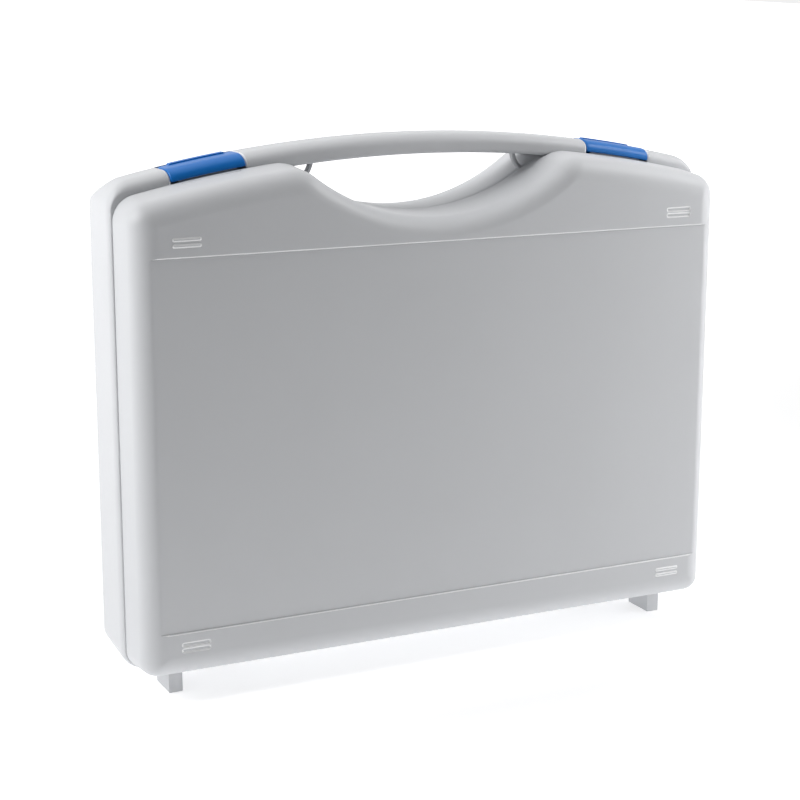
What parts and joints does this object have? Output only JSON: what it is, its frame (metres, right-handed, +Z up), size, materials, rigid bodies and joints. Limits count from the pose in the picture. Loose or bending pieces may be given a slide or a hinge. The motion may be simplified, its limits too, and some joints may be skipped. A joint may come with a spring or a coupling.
{
  "type": "instrument carry case",
  "caption": "Hard moulded carry case for a hand-held otoscope: half shells hinged along the bottom, built-in carry handle, clip latches and a die-cut foam interior",
  "frame": {"origin": "centre of the bounding box on the floor the feet stand on", "axes": "+X to the right across the width seen from the front, +Y from the front panel to the back, +Z up towards the handle"},
  "size_m": [0.37, 0.083, 0.304],
  "materials": {
    "shell": "fine-textured light grey polypropylene",
    "latch": "satin blue moulded plastic",
    "steel": "ground steel",
    "foam": "dark grey open-cell foam"
  },
  "bodies": {
    "base": {"rear_shell": "shell", "latch_pin_left": "steel", "latch_pin_right": "steel", "hinge_pin_left": "steel", "hinge_pin_right": "steel", "foam_insert": "foam", "foam_base_pad": "foam"},
    "lid": {"front_shell": "shell", "foam_lid_pad": "foam"},
    "latch_left": {"latch_left": "latch"},
    "latch_right": {"latch_right": "latch"}
  },
  "joints": [
    {"name": "lid_hinge", "type": "hinge", "parent": "base", "child": "lid", "pos_m": [0, -0.0015, 0.0085], "axis": [1, 0, 0], "range_deg": [0, 92]},
    {"name": "latch_left_hinge", "type": "hinge", "parent": "base", "child": "latch_left", "pos_m": [-0.12913, 0.007, 0.28922], "axis": [-0.9864, 0, -0.1643], "range_deg": [0, 80]},
    {"name": "latch_right_hinge", "type": "hinge", "parent": "base", "child": "latch_right", "pos_m": [0.12913, 0.007, 0.28922], "axis": [-0.9864, 0, 0.1643], "range_deg": [0, 80]}
  ]
}
